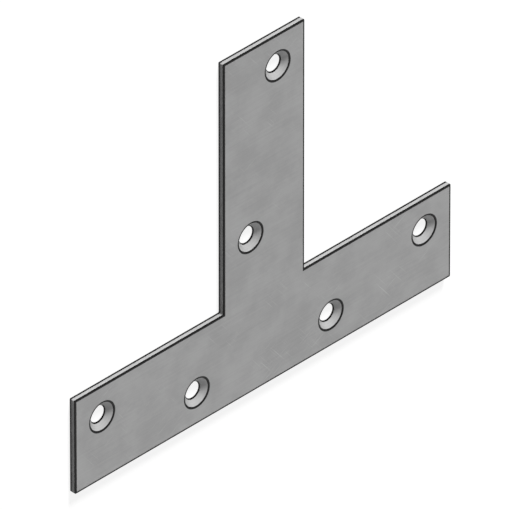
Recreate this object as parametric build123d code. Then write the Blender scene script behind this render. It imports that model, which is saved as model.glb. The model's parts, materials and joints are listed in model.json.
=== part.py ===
from build123d import *

import os

# A T-shaped joining plate for framing extrusions: one flat steel blank with six countersunk screw holes.
# The plate lies on its back face in the XY plane. The bar runs along X, the stem rises from the middle of the
# bar along +Y, and the countersinks open upwards, along +Z. The origin is on the back face, where the centre
# lines of the bar and the stem cross. All sizes are in millimetres.

# The blank: a bar and a stem of one width, cut from sheet.
THICKNESS = 2.0
ARM_WIDTH = 30.0
BAR_LENGTH = 140.0
OVERALL_HEIGHT = 110.0  # from the lower edge of the bar to the top of the stem
STEM_LENGTH = OVERALL_HEIGHT - ARM_WIDTH

# The corners are crisp. Tumbling breaks the sharp edges of both faces, the front's a little more.
CORNER_RADIUS = 0.3
FRONT_EDGE_RADIUS = 0.2
BACK_EDGE_RADIUS = 0.1
MOUTH_EDGE_RADIUS = 0.1

# The screw holes: each countersink runs almost through the sheet and leaves a hair of straight wall behind.
HOLE_DIAMETER = 5.0
STRAIGHT_WALL = 0.1
COUNTERSINK_ANGLE = 90.0
COUNTERSINK_DEPTH = THICKNESS - STRAIGHT_WALL
COUNTERSINK_DIAMETER = HOLE_DIAMETER + 2 * COUNTERSINK_DEPTH  # a 90 degree cone widens by twice its depth

# The holes zigzag, so that neighbours never lie on one line of the sheet. Each stands off its arm's centre
# line by a sixth of the arm's width.
ZIGZAG = ARM_WIDTH / 6
END_MARGIN = 10.0  # from the free end of an arm to its last hole
BAR_HOLE_STEP = 35.0  # from the last hole of the bar to the next one inwards
STEM_HOLE_STEP = 50.0  # from the last hole of the stem to the next one down

BAR_OUTER_X = BAR_LENGTH / 2 - END_MARGIN
BAR_INNER_X = BAR_OUTER_X - BAR_HOLE_STEP
STEM_UPPER_Y = ARM_WIDTH / 2 + STEM_LENGTH - END_MARGIN
STEM_LOWER_Y = STEM_UPPER_Y - STEM_HOLE_STEP


def hole_centres():
    """The six hole centres: two mirrored pairs in the bar, and two in the stem."""
    bar = [(side * BAR_OUTER_X, ZIGZAG) for side in (-1, 1)]
    bar += [(side * BAR_INNER_X, -ZIGZAG) for side in (-1, 1)]
    stem = [(-ZIGZAG, STEM_LOWER_Y), (ZIGZAG, STEM_UPPER_Y)]
    return bar + stem


def cut_blank():
    """The T outline, cut from sheet, with the edges of both faces broken."""
    with BuildPart() as blank:
        with BuildSketch() as outline:
            Rectangle(BAR_LENGTH, ARM_WIDTH)
            with Locations((0, ARM_WIDTH / 2)):
                Rectangle(ARM_WIDTH, STEM_LENGTH, align=(Align.CENTER, Align.MIN))
            fillet(outline.vertices(), CORNER_RADIUS)
        extrude(amount=THICKNESS)
        fillet(blank.faces().sort_by(Axis.Z)[-1].outer_wire().edges(), FRONT_EDGE_RADIUS)
        fillet(blank.faces().sort_by(Axis.Z)[0].outer_wire().edges(), BACK_EDGE_RADIUS)
    return blank.part


def make_joining_plate():
    """The blank with its six countersunk holes, each with a lightly broken mouth."""
    with BuildPart() as plate:
        add(cut_blank())
        with Locations(Plane.XY.offset(THICKNESS)):
            with Locations(*hole_centres()):
                CounterSinkHole(
                    radius=HOLE_DIAMETER / 2,
                    counter_sink_radius=COUNTERSINK_DIAMETER / 2,
                    counter_sink_angle=COUNTERSINK_ANGLE,
                    depth=THICKNESS,
                )
        fillet(plate.faces().sort_by(Axis.Z)[-1].inner_wires().edges(), MOUTH_EDGE_RADIUS)
    return plate.part


os.makedirs("parts", exist_ok=True)
export_step(make_joining_plate(), "parts/joining_plate.step")
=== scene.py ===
import json

import bpy
import numpy as np
from mathutils import Matrix, Vector


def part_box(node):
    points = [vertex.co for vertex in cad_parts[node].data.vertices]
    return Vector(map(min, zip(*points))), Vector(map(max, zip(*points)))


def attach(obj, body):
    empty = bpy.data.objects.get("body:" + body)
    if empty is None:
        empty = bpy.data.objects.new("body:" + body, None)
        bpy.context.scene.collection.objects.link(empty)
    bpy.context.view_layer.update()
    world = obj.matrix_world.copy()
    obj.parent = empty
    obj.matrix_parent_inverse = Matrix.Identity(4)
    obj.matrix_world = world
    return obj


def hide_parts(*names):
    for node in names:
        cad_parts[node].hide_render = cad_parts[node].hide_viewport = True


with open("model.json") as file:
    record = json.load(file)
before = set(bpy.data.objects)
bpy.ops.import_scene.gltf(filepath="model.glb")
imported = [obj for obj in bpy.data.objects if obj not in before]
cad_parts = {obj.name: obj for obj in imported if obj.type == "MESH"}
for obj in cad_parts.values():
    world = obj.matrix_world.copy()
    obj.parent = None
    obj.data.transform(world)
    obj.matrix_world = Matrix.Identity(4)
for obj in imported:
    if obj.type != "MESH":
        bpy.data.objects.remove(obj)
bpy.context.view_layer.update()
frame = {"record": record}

# ---- The sheet --------------------------------------------------------------------------------------
# The plate is one piece of 2 mm cold-rolled steel sheet, cut to a T. Both faces keep the grain that the
# rollers gave them, along the bar, under a thin dull coat of zinc. Tumbling and handling leave it lightly
# clouded, with a few fine scuffs.

low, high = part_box("joining_plate")
BAR_END, ARM_HALF, STEM_END, THICKNESS = high.x, -low.y, high.y, high.z
CELL = ARM_HALF / 24  # the pitch of the lattice on which the outline and the hole fields lie
HOLES = [mount for mount in frame["record"]["mounts"] if mount["kind"] == "bore"]
FIELD_HALF = 8 * CELL  # half of the square of the face that is worked out round each hole

# One row of numbers for each corner of each face: its place, its normal, its run and its edge shade. The run
# is how far along and how far across its own band of the surface it is, and the edge shade is 1 on painted
# shade.
PLACE, NORMAL, RUN, EDGE_SHADE = slice(0, 3), slice(3, 6), slice(6, 8), 8

DULL_ZINC = (0.325, 0.325, 0.325, 1)
CLOUDED_ZINC = (0.3, 0.3, 0.3, 1)
SCUFFED_ZINC = (0.42, 0.42, 0.42, 1)
# Painted shade: near-black, laid as dark lines along the edges, at the foot of the wall and in the bores
PAINTED_SHADE_GREY = (0.015, 0.015, 0.015, 1)
EDGE_SHADE_ROUGHNESS = 0.55
LEAST_EDGE_SHADE = 0.6  # the least that the noise leaves of the edge shade, which makes the painted shade's border ragged
GRAIN_LENGTH, GRAIN_WIDTH = 0.022, 0.00066  # of the noise's shapes, and so are the next two
SCUFF_LENGTH, SCUFF_WIDTH = 0.014, 0.00026


def corner_rows(place, normal, run, edge_shade):
    """Stacks the four kinds of value on the last axis, each spread to the shape of the places."""
    shape = place.shape[:-1]
    parts = [np.broadcast_to(part, shape + (width,)) for part, width in ((place, 3), (normal, 3), (run, 2))]
    return np.concatenate(parts + [np.broadcast_to(edge_shade, shape)[..., None]], axis=-1)


def quads(grid, turned=False):
    """The four-cornered faces of a grid of corner rows: each takes a point, the next one in its row, and the
    two after them in the next row. Turned faces go round the other way."""
    faces = np.stack([grid[:-1, :-1], grid[:-1, 1:], grid[1:, 1:], grid[1:, :-1]], axis=2)
    faces = faces.reshape(-1, 4, grid.shape[-1])
    return faces[:, ::-1] if turned else faces


def at_height(flat, height):
    """Points of the plane, lifted to a height."""
    lifted = np.broadcast_to(height, flat.shape[:-1])
    return np.concatenate([flat, lifted[..., None]], axis=-1)


def sheet_face(height, up):
    """The lattice cells of one face that lie within the T, one cell in from its outline, less the hole
    fields."""
    x = np.arange(-round(BAR_END / CELL), round(BAR_END / CELL) + 1) * CELL
    y = np.arange(-round(ARM_HALF / CELL), round(STEM_END / CELL) + 1) * CELL
    flat = np.stack(np.meshgrid(x, y), axis=2)
    faces = quads(corner_rows(at_height(flat, height), np.array([0, 0, up]), flat, 0.0), turned=up < 0)
    middle = faces[:, :, :2].mean(axis=1)
    across, along = np.abs(middle[:, 0]), middle[:, 1]
    in_bar = (across < BAR_END - CELL) & (np.abs(along) < ARM_HALF - CELL)
    in_stem = (across < ARM_HALF - CELL) & (along > 0) & (along < STEM_END - CELL)
    kept = in_bar | in_stem
    for hole in HOLES:
        kept &= np.abs(middle - hole["pos_m"][:2]).max(axis=1) > FIELD_HALF
    return faces[kept]


def node(tree, kind, inputs=None, **settings):
    """Adds a shader node. An input is given as a value, or as the output that feeds it."""
    made = tree.nodes.new("ShaderNode" + kind)
    for name, value in settings.items():
        setattr(made, name, value)
    for key, value in (inputs or {}).items():
        if isinstance(value, bpy.types.NodeSocket):
            tree.links.new(value, made.inputs[key])
        else:
            made.inputs[key].default_value = value
    return made


def group_with(name, inputs, outputs):
    """A shader node group with named sockets, and its two end nodes."""
    group = bpy.data.node_groups.new(name, "ShaderNodeTree")
    for direction, sockets in (("INPUT", inputs), ("OUTPUT", outputs)):
        for socket, kind in sockets.items():
            group.interface.new_socket(socket, in_out=direction, socket_type="NodeSocket" + kind)
    return group, group.nodes.new("NodeGroupInput").outputs, group.nodes.new("NodeGroupOutput").inputs


def clouding_group():
    """Soft clouds in a coat of zinc: noise that mixes two greys. The cloud, from 0 to 1, is put out too."""
    group, given, put_out = group_with(
        "zinc_clouding",
        {"Place": "Vector", "Grey": "Color", "Clouded Grey": "Color", "Cloud Scale": "Float"},
        {"Color": "Color", "Cloud": "Float"},
    )
    noise = node(
        group, "TexNoise",
        {"Vector": given["Place"], "Scale": given["Cloud Scale"], "Detail": 5.0, "Roughness": 0.62})
    cloud = node(
        group, "MapRange", {"Value": noise.outputs["Fac"], "From Min": 0.32, "From Max": 0.68},
        interpolation_type="SMOOTHSTEP")
    greys = node(
        group, "Mix", {0: cloud.outputs[0], 6: given["Grey"], 7: given["Clouded Grey"]}, data_type="RGBA")
    group.links.new(greys.outputs[2], put_out["Color"])
    group.links.new(cloud.outputs[0], put_out["Cloud"])
    return group


def edge_shade_group():
    """Painted shade along an edge: the edge shade, made a little ragged by fine noise, mixes the finish's own
    grey, roughness and metal with those of a near-black painted shade that is lightly flecked."""
    group, given, put_out = group_with(
        "rubbed_edge",
        {"Place": "Vector", "Color": "Color", "Roughness": "Float", "Shade Grey": "Color",
         "Shade Roughness": "Float", "Metallic": "Float", "Least Shade": "Float"},
        {"Color": "Color", "Roughness": "Float", "Metallic": "Float"},
    )
    edge_shade = node(group, "Attribute", attribute_name="edge_shade")
    noise = node(group, "TexNoise", {"Vector": given["Place"], "Scale": 1400.0, "Detail": 3.0})
    share = node(
        group, "MapRange",
        {"Value": noise.outputs["Fac"], "From Min": 0.25, "From Max": 0.75, "To Min": given["Least Shade"],
         "To Max": 1.4})
    ragged = node(group, "Math", {0: edge_shade.outputs["Fac"], 1: share.outputs[0]}, operation="MULTIPLY")
    rubbed = node(
        group, "MapRange", {"Value": ragged.outputs[0], "From Min": 0.06, "From Max": 0.4},
        interpolation_type="SMOOTHSTEP").outputs[0]
    flecks = node(group, "TexNoise", {"Vector": given["Place"], "Scale": 5200.0, "Detail": 2.0})
    value = node(
        group, "MapRange",
        {"Value": flecks.outputs["Fac"], "From Min": 0.3, "From Max": 0.7, "To Min": 0.75, "To Max": 1.5})
    flecked = node(group, "HueSaturation", {"Value": value.outputs[0], "Color": given["Shade Grey"]})
    grey = node(group, "Mix", {0: rubbed, 6: given["Color"], 7: flecked.outputs[0]}, data_type="RGBA")
    rough = node(group, "Mix", {0: rubbed, 2: given["Roughness"], 3: given["Shade Roughness"]})
    metal = node(group, "Mix", {0: rubbed, 2: given["Metallic"], 3: 1.0})
    group.links.new(grey.outputs[2], put_out["Color"])
    group.links.new(rough.outputs[0], put_out["Roughness"])
    group.links.new(metal.outputs[0], put_out["Metallic"])
    return group


CLOUDING, EDGE_SHADING = clouding_group(), edge_shade_group()


def finish_of(name):
    """A new material with its tree, its shader and the Object coordinates."""
    material = bpy.data.materials.new(name)
    material.use_nodes = True
    tree = material.node_tree
    shader = tree.nodes["Principled BSDF"]
    shader.inputs["Specular IOR Level"].default_value = 0.35
    place = node(tree, "TexCoord").outputs["Object"]
    return material, tree, shader, place


def clouded(tree, place, grey, clouded_grey, scale):
    """The two outputs of the clouding: the grey of the surface, and the cloud."""
    inputs = {"Place": place, "Grey": grey, "Clouded Grey": clouded_grey, "Cloud Scale": scale}
    outputs = node(tree, "Group", inputs, node_tree=CLOUDING).outputs
    return outputs["Color"], outputs["Cloud"]


def uneven_grey(tree, grey, noise, noise_range, value_range):
    """A grey made brighter and darker by noise, which goes from one range of numbers to the other."""
    value = node(
        tree, "MapRange",
        {"Value": noise, "From Min": noise_range[0], "From Max": noise_range[1], "To Min": value_range[0],
         "To Max": value_range[1]})
    return node(tree, "HueSaturation", {"Value": value.outputs[0], "Color": grey}).outputs[0]


def finish_off(tree, shader, place, grey, roughness, relief, metallic, strength, depth):
    """Leads a finish through the painted shade of its edges into the shader, and gives it its relief, whose
    depth is in metres."""
    rubbed = node(
        tree, "Group",
        {"Place": place, "Color": grey, "Roughness": roughness, "Metallic": metallic,
         "Shade Grey": PAINTED_SHADE_GREY, "Shade Roughness": EDGE_SHADE_ROUGHNESS, "Least Shade": LEAST_EDGE_SHADE},
        node_tree=EDGE_SHADING)
    bump = node(tree, "Bump", {"Height": relief, "Strength": strength, "Distance": depth})
    tree.links.new(rubbed.outputs["Color"], shader.inputs["Base Color"])
    tree.links.new(rubbed.outputs["Roughness"], shader.inputs["Roughness"])
    tree.links.new(rubbed.outputs["Metallic"], shader.inputs["Metallic"])
    tree.links.new(bump.outputs[0], shader.inputs["Normal"])


def scuffs(tree, place, angle, seed):
    """Sparse fine scratches in one direction: noise drawn out to long thin shapes, kept where it peaks, and
    only in some patches."""
    drawn_out = node(
        tree, "Mapping",
        {"Vector": place, "Location": (seed, seed / 3, 0), "Rotation": (0, 0, angle),
         "Scale": (SCUFF_LENGTH, SCUFF_WIDTH, SCUFF_LENGTH)},
        vector_type="TEXTURE")
    thin = node(tree, "TexNoise", {"Vector": drawn_out.outputs[0], "Scale": 1.0, "Detail": 1.0})
    line = node(tree, "MapRange", {"Value": thin.outputs["Fac"], "From Min": 0.68, "From Max": 0.77})
    patch = node(tree, "TexNoise", {"Vector": place, "Scale": 55.0 + seed * 20, "Detail": 1.0})
    where = node(tree, "MapRange", {"Value": patch.outputs["Fac"], "From Min": 0.5, "From Max": 0.62})
    return node(tree, "Math", {0: line.outputs[0], 1: where.outputs[0]}, operation="MULTIPLY").outputs[0]


def rolled_skin():
    """The finish of both faces: clouded zinc over the rolling grain, which is noise drawn out along the
    bar."""
    material, tree, shader, place = finish_of("rolled_skin")
    grey, cloud = clouded(tree, place, DULL_ZINC, CLOUDED_ZINC, 110.0)
    drawn_out = node(
        tree, "Mapping", {"Vector": place, "Scale": (GRAIN_LENGTH, GRAIN_WIDTH, GRAIN_LENGTH)},
        vector_type="TEXTURE")
    grain = node(
        tree, "TexNoise",
        {"Vector": drawn_out.outputs[0], "Scale": 1.0, "Detail": 4.0, "Roughness": 0.7}).outputs["Fac"]
    grained = uneven_grey(tree, grey, grain, (0.3, 0.7), (0.955, 1.045))
    lines = node(
        tree, "Math",
        {0: scuffs(tree, place, angle=0.5, seed=0.3), 1: scuffs(tree, place, angle=-0.9, seed=0.7)},
        operation="MAXIMUM").outputs[0]
    scuffed = node(tree, "Mix", {0: lines, 6: grained, 7: SCUFFED_ZINC}, data_type="RGBA").outputs[2]
    roughness = node(tree, "MapRange", {"Value": cloud, "To Min": 0.44, "To Max": 0.56}).outputs[0]
    relief = node(tree, "Math", {0: lines, 1: -1.5, 2: grain}, operation="MULTIPLY_ADD").outputs[0]
    finish_off(tree, shader, place, scuffed, roughness, relief, metallic=0.18, strength=0.35, depth=0.00002)
    return material


# ---- The cut edge -----------------------------------------------------------------------------------
# The blank is punched out in one stroke of a press. The punch rolls the front edge over and burnishes the
# upper part of the wall, with fine lines down it. The rest tears, and leans in a little. Tumbling rounds
# the edges. Along them, and at the foot of the wall, lies near-black painted shade, as dark edge lines.

CORNER_RADIUS = 0.0003
FRONT_EDGE_RADIUS = 0.0002
BACK_EDGE_RADIUS = 0.0001
BURNISHED_DEPTH = 0.0007  # of the wall, below the rounding of the front edge
TEAR_LEAN = 0.00003  # how far the torn part stands back at its lower end
BORDER_WAVE = 0.00018  # how far the border of the two parts strays up and down
BORDER_WIDTH = 0.00008
WIDE_SHADE_REACH = CELL - FRONT_EDGE_RADIUS  # how far from a rounded edge the painted shade reaches
NARROW_SHADE_REACH = 0.0002  # the same, where the punch or the cutter has come past
FOOT_SHADE_REACH = 0.0006  # and on the torn part of the wall, beside the back edge
FULL_SHADE_SHARE = 0.6  # the share of that reach over which the painted shade is full
CUT_STEEL = (0.37, 0.37, 0.37, 1)
CLOUDED_CUT_STEEL = (0.335, 0.335, 0.335, 1)


def outline_path():
    """The outline as stations: the wall's point, its outward normal, and the lattice point one cell inside
    that the face meets there. A straight side has a station at each lattice point. A corner has an arc,
    whose stations all meet the face at the inset corner, apart from the ends of the arc in an inner
    corner."""
    b, a, t = BAR_END, ARM_HALF, STEM_END
    corners = np.array([(-b, -a), (b, -a), (b, a), (a, a), (a, t), (-a, t), (-a, a), (-b, a)])
    ahead = np.roll(corners, -1, axis=0) - corners
    length = np.abs(ahead).sum(axis=1)
    out = np.stack([ahead[:, 1], -ahead[:, 0]], axis=1) / length[:, None]
    turn = np.linspace(0, np.pi / 2, 7)[:, None]
    walls, normals, inner = [], [], []
    for side in range(len(corners)):
        before, after = out[side - 1], out[side]
        inner_corner = before[0] * after[1] - before[1] * after[0] < 0
        bulge = -CORNER_RADIUS if inner_corner else CORNER_RADIUS
        normal = np.cos(turn) * before + np.sin(turn) * after
        meets = np.repeat((corners[side] - CELL * (before + after))[None], len(turn), axis=0)
        if inner_corner:
            meets[0] = corners[side] - CELL * before
            meets[-1] = corners[side] - CELL * after
        walls.append(corners[side] - bulge * (before + after) + bulge * normal)
        normals.append(normal)
        inner.append(meets)

        steps = np.arange(1, round(length[side] / CELL))[:, None] * CELL
        wall = corners[side] + steps * ahead[side] / length[side]
        walls.append(wall)
        normals.append(np.repeat(after[None], len(wall), axis=0))
        inner.append(wall - CELL * after)
    return [np.concatenate(part + [part[0][:1]]) for part in (walls, normals, inner)]


def shade_at_gap(gap):
    """The painted edge shade at a distance from an edge, given as a share of its reach: 1 as far as the shade
    is full, and from there it falls evenly to 0."""
    return np.clip((1 - gap) / (1 - FULL_SHADE_SHARE), 0, 1)


def edge_profile():
    """The wall in section, from the front face to the back: how deep each point lies behind the outline, its
    height, the tilt of its normal, and its painted edge shade. Between two quarter circles lie a straight
    burnished stretch and a torn one, which leans in as a smooth step. The painted shade reaches from the
    circles along both."""
    front = np.radians(np.linspace(90, 0, 6))
    back = np.radians(np.linspace(0, -90, 5))
    torn_top = THICKNESS - FRONT_EDGE_RADIUS - BURNISHED_DEPTH
    torn_height = torn_top - BACK_EDGE_RADIUS
    burnished_top = THICKNESS - FRONT_EDGE_RADIUS
    fade = np.array([0.6, 0.8, 1.0])
    clean = 1 - FOOT_SHADE_REACH / torn_height
    w = np.concatenate([np.linspace(0, clean, 6)[:-1], 1 - fade[::-1] * FOOT_SHADE_REACH / torn_height, [1]])
    lean = TEAR_LEAN * w * w * (3 - 2 * w)
    slope = 6 * w * (1 - w) * TEAR_LEAN / torn_height
    depth = [FRONT_EDGE_RADIUS * (1 - np.cos(front)), 0 * fade, lean,
             TEAR_LEAN + BACK_EDGE_RADIUS * (1 - np.cos(back[1:]))]
    height = [burnished_top + FRONT_EDGE_RADIUS * np.sin(front), burnished_top - fade * NARROW_SHADE_REACH,
              torn_top - w * torn_height, BACK_EDGE_RADIUS * (1 + np.sin(back[1:]))]
    tilt = [front, 0 * fade, -np.arctan(slope), back[1:]]
    depth, height, tilt = (np.concatenate(part) for part in (depth, height, tilt))
    gap = np.minimum((burnished_top - height) / NARROW_SHADE_REACH, (height - BACK_EDGE_RADIUS) / FOOT_SHADE_REACH)
    return depth, height, tilt, shade_at_gap(gap)


def cut_edge():
    """The edge profile carried along the outline: each point is the outline's point, less the profile's
    depth times the outward normal, at the profile's height. The run is the way along the outline and down
    the wall."""
    wall, normal, _ = outline_path()
    along = np.concatenate([[0], np.cumsum(np.linalg.norm(np.diff(wall, axis=0), axis=1))])
    depth, height, tilt, edge_shade = (part[:, None] for part in edge_profile())
    place = at_height(wall - depth[..., None] * normal, height)
    facing = at_height(np.cos(tilt)[..., None] * normal, np.sin(tilt))
    run = np.stack(np.broadcast_arrays(along, THICKNESS - height), axis=2)
    return quads(corner_rows(place, facing, run, edge_shade), turned=True)


def face_margin(height, set_back, up):
    """The strip of a face between the lattice, one cell in, and its rounded edge, which is set back from the
    outline. Straight lines join the two, and the painted edge shade reaches all the way along them."""
    wall, normal, inner = outline_path()
    edge = wall - set_back * normal
    share = np.array([0, 0.15, 0.3, 0.45, 0.7, 1])[:, None, None]
    flat = inner * (1 - share) + edge * share
    edge_shade = shade_at_gap(1 - share[..., 0])
    return quads(corner_rows(at_height(flat, height), np.array([0, 0, up]), flat, edge_shade), turned=up > 0)


def punched_wall():
    """The finish of the cut edge: lines down the burnished part, grains on the torn part, and a wavy
    border."""
    material, tree, shader, place = finish_of("punched_wall")
    run = node(tree, "Attribute", attribute_name="run")
    along, down, _ = node(tree, "SeparateXYZ", {0: run.outputs["Vector"]}).outputs
    fine_lines = node(tree, "TexNoise", {"W": along, "Scale": 2600.0, "Detail": 3.0}, noise_dimensions="1D")
    grains = node(tree, "TexNoise", {"Vector": place, "Scale": 3800.0, "Detail": 3.0, "Roughness": 0.7})
    wave = node(tree, "TexNoise", {"W": along, "Scale": 420.0, "Detail": 2.0}, noise_dimensions="1D")
    torn_from = FRONT_EDGE_RADIUS + BURNISHED_DEPTH
    border = node(
        tree, "MapRange",
        {"Value": wave.outputs["Fac"], "From Min": 0.3, "From Max": 0.7, "To Min": torn_from - BORDER_WAVE,
         "To Max": torn_from + BORDER_WAVE})
    below = node(tree, "Math", {0: down, 1: border.outputs[0]}, operation="SUBTRACT")
    torn = node(
        tree, "MapRange",
        {"Value": below.outputs[0], "From Min": -BORDER_WIDTH / 2, "From Max": BORDER_WIDTH / 2}).outputs[0]
    relief = node(tree, "Mix", {0: torn, 2: fine_lines.outputs["Fac"], 3: grains.outputs["Fac"]}).outputs[0]
    grey, _ = clouded(tree, place, CUT_STEEL, CLOUDED_CUT_STEEL, 260.0)
    lined = uneven_grey(tree, grey, relief, (0.3, 0.7), (0.9, 1.1))
    roughness = node(tree, "MapRange", {"Value": torn, "To Min": 0.42, "To Max": 0.66}).outputs[0]
    finish_off(tree, shader, place, lined, roughness, relief, metallic=0.06, strength=0.5, depth=0.00004)
    return material


# ---- The screw holes --------------------------------------------------------------------------------
# Six holes are drilled, and countersunk from the front with a 90 degree cutter, almost through the
# sheet. The cutter leaves fine rings on the cone. The mouth is broken with a light touch. The mouth and
# the thin wall at the back carry the same near-black painted shade as the outer edges.

HOLE_RADIUS = HOLES[0]["dims"]["r_mm"] / 1000
STRAIGHT_WALL = HOLES[0]["dims"]["length_mm"] / 1000
MOUTH_EDGE_RADIUS = 0.0001
ROUND = 64  # steps round a hole, sixteen to a side of its square
TURNED_ZINC_AND_HIGHLIGHT = (0.385, 0.385, 0.385, 1)  # a finer surface than the rolled one, its grey raised as a painted highlight
CLOUDED_TURNED_ZINC_AND_HIGHLIGHT = (0.355, 0.355, 0.355, 1)


def field_square():
    """Points round the square field, one lattice step apart, from its lower right corner."""
    step = np.arange(ROUND // 4) * CELL - FIELD_HALF
    edge = np.full_like(step, FIELD_HALF)
    sides = [np.stack(side, axis=1) for side in ((edge, step), (-step, edge), (-edge, -step), (step, -edge))]
    return np.concatenate(sides + [sides[0][:1]])


def round_hole():
    """Unit directions round a hole, in step with the points of its square field."""
    angle = (np.arange(ROUND + 1) / ROUND - 1 / 8) * 2 * np.pi
    return np.stack([np.cos(angle), np.sin(angle)], axis=1)


def hole_field(centre, height, radius, up):
    """The face round a hole: rings as far as the painted edge shade reaches, and from the last of them
    straight lines to the square field."""
    reach = np.array([0, 0.2, 0.4, 0.6, 0.8, 1, 1, 1])[:, None, None]
    share = np.array([0, 0, 0, 0, 0, 0, 0.5, 1])[:, None, None]
    flat = (1 - share) * (radius + reach * WIDE_SHADE_REACH) * round_hole() + share * field_square()
    place = at_height(flat + centre, height)
    return quads(corner_rows(place, np.array([0, 0, up]), flat + centre, shade_at_gap(reach[..., 0])), turned=up > 0)


def mouth_radius():
    """Where the rounding of the mouth starts on the face: where the cone would meet it, and the tangent of an
    eighth of a circle further out."""
    return HOLE_RADIUS + THICKNESS - STRAIGHT_WALL + MOUTH_EDGE_RADIUS * np.tan(np.pi / 8)


def cone_section():
    """The countersink in section, from the face down: radius, height and tilt of the normal, which faces the
    hole's axis, and the painted edge shade. An eighth of a circle turns the face into the cone, which meets
    the straight wall. The rows lie closer together where the painted shade fades."""
    eighth = np.radians(np.linspace(90, 45, 4))
    rounding = mouth_radius() - MOUTH_EDGE_RADIUS * np.cos(eighth)
    rounding_height = THICKNESS - MOUTH_EDGE_RADIUS * (1 - np.sin(eighth))
    steep = np.concatenate([[0.06, 0.12, 0.18], np.linspace(0.25, 0.8, 6), [0.86, 0.92, 0.96, 1]])
    cone = rounding[-1] + (HOLE_RADIUS - rounding[-1]) * steep
    radius = np.concatenate([rounding, cone])
    height = np.concatenate([rounding_height, cone - HOLE_RADIUS + STRAIGHT_WALL])
    tilt = np.concatenate([eighth, np.full_like(cone, np.pi / 4)])
    from_mouth = (rounding_height[-1] - height) * np.sqrt(2) / NARROW_SHADE_REACH
    from_wall = (height - STRAIGHT_WALL) * np.sqrt(2) / WIDE_SHADE_REACH
    return radius, height, tilt, shade_at_gap(np.minimum(from_mouth, from_wall))


def wall_section():
    """The straight wall left behind the cone, which the cone's cutter never reaches. All of it is painted
    shade.
    """
    return np.full(2, HOLE_RADIUS), np.array([STRAIGHT_WALL, 0]), np.zeros(2), np.ones(2)


def turned_section(centre, section):
    """A section of the hole turned round its axis. The run is the turn, from 0 to 1, and the depth."""
    radius, height, tilt, edge_shade = (part[:, None] for part in section)
    away = round_hole()
    place = at_height(radius[..., None] * away + centre, height)
    facing = at_height(-np.cos(tilt)[..., None] * away, np.sin(tilt))
    turn = np.arange(ROUND + 1) / ROUND
    run = np.stack(np.broadcast_arrays(turn, THICKNESS - height), axis=2)
    return quads(corner_rows(place, facing, run, edge_shade))


def turned_cone():
    """The finish of the countersinks: rings, which are noise on the depth alone, a little uneven round the
    turn. Its grey is raised above the face's as a painted highlight."""
    material, tree, shader, place = finish_of("turned_cone")
    run = node(tree, "Attribute", attribute_name="run")
    depth = node(tree, "SeparateXYZ", {0: run.outputs["Vector"]}).outputs[1]
    rings = node(tree, "TexNoise", {"W": depth, "Scale": 5200.0, "Detail": 2.0}, noise_dimensions="1D")
    uneven = node(tree, "TexNoise", {"Vector": place, "Scale": 500.0, "Detail": 2.0})
    relief = node(
        tree, "Math", {0: rings.outputs["Fac"], 1: uneven.outputs["Fac"]}, operation="MULTIPLY").outputs[0]
    # Painted highlight: the cone's zinc is given a brighter grey than the face's zinc
    grey, _ = clouded(tree, place, TURNED_ZINC_AND_HIGHLIGHT, CLOUDED_TURNED_ZINC_AND_HIGHLIGHT, 300.0)
    ringed = uneven_grey(tree, grey, relief, (0.15, 0.35), (0.94, 1.06))
    roughness = node(
        tree, "MapRange",
        {"Value": relief, "From Min": 0.15, "From Max": 0.35, "To Min": 0.4, "To Max": 0.52}).outputs[0]
    finish_off(tree, shader, place, ringed, roughness, relief, metallic=0.18, strength=0.5, depth=0.00003)
    return material


# ---- The finished plate -----------------------------------------------------------------------------
# Sheet, cut edge and holes are one piece of steel, so their faces are welded into one closed mesh.


def plate_faces():
    """Every face of the plate, with the number of the finish it wears."""
    skin, wall, cone = range(3)
    yield sheet_face(THICKNESS, 1), skin
    yield sheet_face(0, -1), skin
    yield face_margin(THICKNESS, FRONT_EDGE_RADIUS, 1), skin
    yield face_margin(0, BACK_EDGE_RADIUS + TEAR_LEAN, -1), skin
    yield cut_edge(), wall
    for hole in HOLES:
        centre = np.array(hole["pos_m"][:2])
        yield hole_field(centre, THICKNESS, mouth_radius(), 1), skin
        yield hole_field(centre, 0, HOLE_RADIUS, -1), skin
        yield turned_section(centre, cone_section()), cone
        yield turned_section(centre, wall_section()), cone


def weld(name, faces, finishes):
    """One closed mesh from loose faces: corners that share a place share a vertex, and a face with two
    corners at one vertex becomes a triangle. The normals, the runs and the painted edge shade stay with the
    corners."""
    tenth_micron = 1e-7
    places = np.round(faces[:, :, PLACE].reshape(-1, 3) / tenth_micron).astype(np.int64)
    vertices, index = np.unique(places, axis=0, return_inverse=True)
    index = index.reshape(-1, 4)
    kept = index != np.roll(index, 1, axis=1)
    corners = faces[kept]
    mesh = bpy.data.meshes.new(name)
    mesh.vertices.add(len(vertices))
    mesh.vertices.foreach_set("co", (vertices * tenth_micron).astype(np.float32).ravel())
    mesh.loops.add(len(corners))
    mesh.loops.foreach_set("vertex_index", index[kept].astype(np.int32))
    mesh.polygons.add(len(faces))
    starts = np.concatenate([[0], np.cumsum(kept.sum(axis=1))[:-1]])
    mesh.polygons.foreach_set("loop_start", starts.astype(np.int32))
    mesh.polygons.foreach_set("material_index", finishes.astype(np.int32))
    mesh.update(calc_edges=True)
    run = mesh.attributes.new("run", "FLOAT2", "CORNER")
    run.data.foreach_set("vector", corners[:, RUN].astype(np.float32).ravel())
    # The mask of the painted edge shade, kept with the corners.
    edge_shade = mesh.attributes.new("edge_shade", "FLOAT", "CORNER")
    edge_shade.data.foreach_set("value", corners[:, EDGE_SHADE].astype(np.float32))
    mesh.normals_split_custom_set(corners[:, NORMAL])
    return mesh


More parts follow.
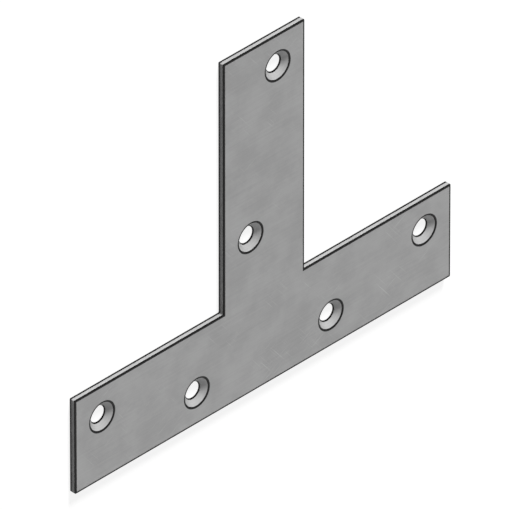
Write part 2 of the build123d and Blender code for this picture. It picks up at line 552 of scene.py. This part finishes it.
patches = list(plate_faces())
plate_mesh = weld(
    "steel_plate",
    np.concatenate([faces for faces, _ in patches]),
    np.concatenate([np.full(len(faces), finish) for faces, finish in patches]),
)
for finish in (rolled_skin(), punched_wall(), turned_cone()):
    plate_mesh.materials.append(finish)
plate = bpy.data.objects.new("steel_plate", plate_mesh)
bpy.context.scene.collection.objects.link(plate)
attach(plate, "root")
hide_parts("joining_plate")

# ---- The floor and the room -------------------------------------------------------------------------
# The plate lies on a plain pale floor in a plain pale room. Both look white, and give back less light
# than they seem to, so that the plate keeps its greys.

FLOOR_HALF = 14.0
FLOOR_PAINT = (0.28, 0.28, 0.28, 1)  # takes the plate's shadow
FLOOR_LIFT = (0.82, 0.82, 0.82, 1)  # only seen, on top of the paint
ROOM_WALLS = (0.13, 0.13, 0.13, 1)
SEEN_WALLS = (1, 1, 1, 1)


def seen_directly(tree):
    """1 for the rays of the camera and of reflections, and 0 for those that carry light."""
    path = node(tree, "LightPath").outputs
    mirrored = node(
        tree, "Math", {0: path["Is Glossy Ray"], 1: path["Is Transmission Ray"]}, operation="MAXIMUM")
    either = node(tree, "Math", {0: path["Is Camera Ray"], 1: mirrored.outputs[0]}, operation="MAXIMUM")
    return either.outputs[0]


floor_mesh = bpy.data.meshes.new("floor")
floor_corners = [(-1, -1), (1, -1), (1, 1), (-1, 1)]
floor_points = [(x * FLOOR_HALF, y * FLOOR_HALF, 0) for x, y in floor_corners]
floor_mesh.from_pydata(floor_points, [], [(0, 1, 2, 3)])
floor = bpy.data.objects.new("floor", floor_mesh)
bpy.context.scene.collection.objects.link(floor)
floor_finish = bpy.data.materials.new("pale_floor")
floor_finish.use_nodes = True
tree = floor_finish.node_tree
tree.nodes.clear()
paint = node(tree, "BsdfDiffuse", {"Color": FLOOR_PAINT})
lift = node(tree, "Emission", {"Color": FLOOR_LIFT, "Strength": seen_directly(tree)})
both = node(tree, "AddShader", {0: paint.outputs[0], 1: lift.outputs[0]})
node(tree, "OutputMaterial", {"Surface": both.outputs[0]})
floor_mesh.materials.append(floor_finish)

world = bpy.data.worlds.new("room")
bpy.context.scene.world = world
world.use_nodes = True
tree = world.node_tree
tree.nodes.clear()
walls = node(tree, "Background", {"Color": ROOM_WALLS})
seen_walls = node(tree, "Background", {"Color": SEEN_WALLS})
both = node(tree, "MixShader", {0: seen_directly(tree), 1: walls.outputs[0], 2: seen_walls.outputs[0]})
node(tree, "OutputWorld", {"Surface": both.outputs[0]})

# ---- The light --------------------------------------------------------------------------------------
# A low window beyond the stem, behind a diffuser, and the faint return from the wall across the room.


def soft_light(name, towards, strength, width, mirrored):
    """Parallel light as from a far soft source, its width given in degrees. The direction points to it. A
    light that isn't mirrored gives no glare."""
    lamp = bpy.data.lights.new(name, "SUN")
    lamp.energy = strength
    lamp.angle = np.radians(width)
    light = bpy.data.objects.new(name, lamp)
    light.rotation_mode = "QUATERNION"
    light.rotation_quaternion = Vector(towards).to_track_quat("Z", "Y")
    light.visible_glossy = mirrored
    bpy.context.scene.collection.objects.link(light)


soft_light("window", towards=(0.12, 0.93, 0.34), strength=5.1, width=16, mirrored=False)
soft_light("far_wall", towards=(0.2, -0.8, 0.55), strength=0.7, width=50, mirrored=True)

# ---- The camera -------------------------------------------------------------------------------------
# A long lens, far off, looking evenly down all three axes from the upper left of the plate.

LENS = 1600.0
SENSOR = 36.0
VIEW_WIDTH = 0.134  # what the camera takes in, across, at the plate
AIM = Vector((-0.0034, 0.0286, THICKNESS))

camera_data = bpy.data.cameras.new("camera")
camera_data.type = "PERSP"
camera_data.lens = LENS
camera_data.sensor_width = SENSOR
distance = VIEW_WIDTH * LENS / SENSOR
camera_data.clip_start, camera_data.clip_end = distance / 10, distance * 3
camera = bpy.data.objects.new("camera", camera_data)
bpy.context.scene.collection.objects.link(camera)
back = Vector((-1, 1, 1)).normalized()
right = Vector((1, 0, 1)).normalized()
turn = Matrix((right, back.cross(right), back)).transposed().to_4x4()
camera.matrix_world = Matrix.Translation(AIM + back * distance) @ turn
bpy.context.scene.camera = camera

bpy.context.scene.view_settings.view_transform = "Standard"
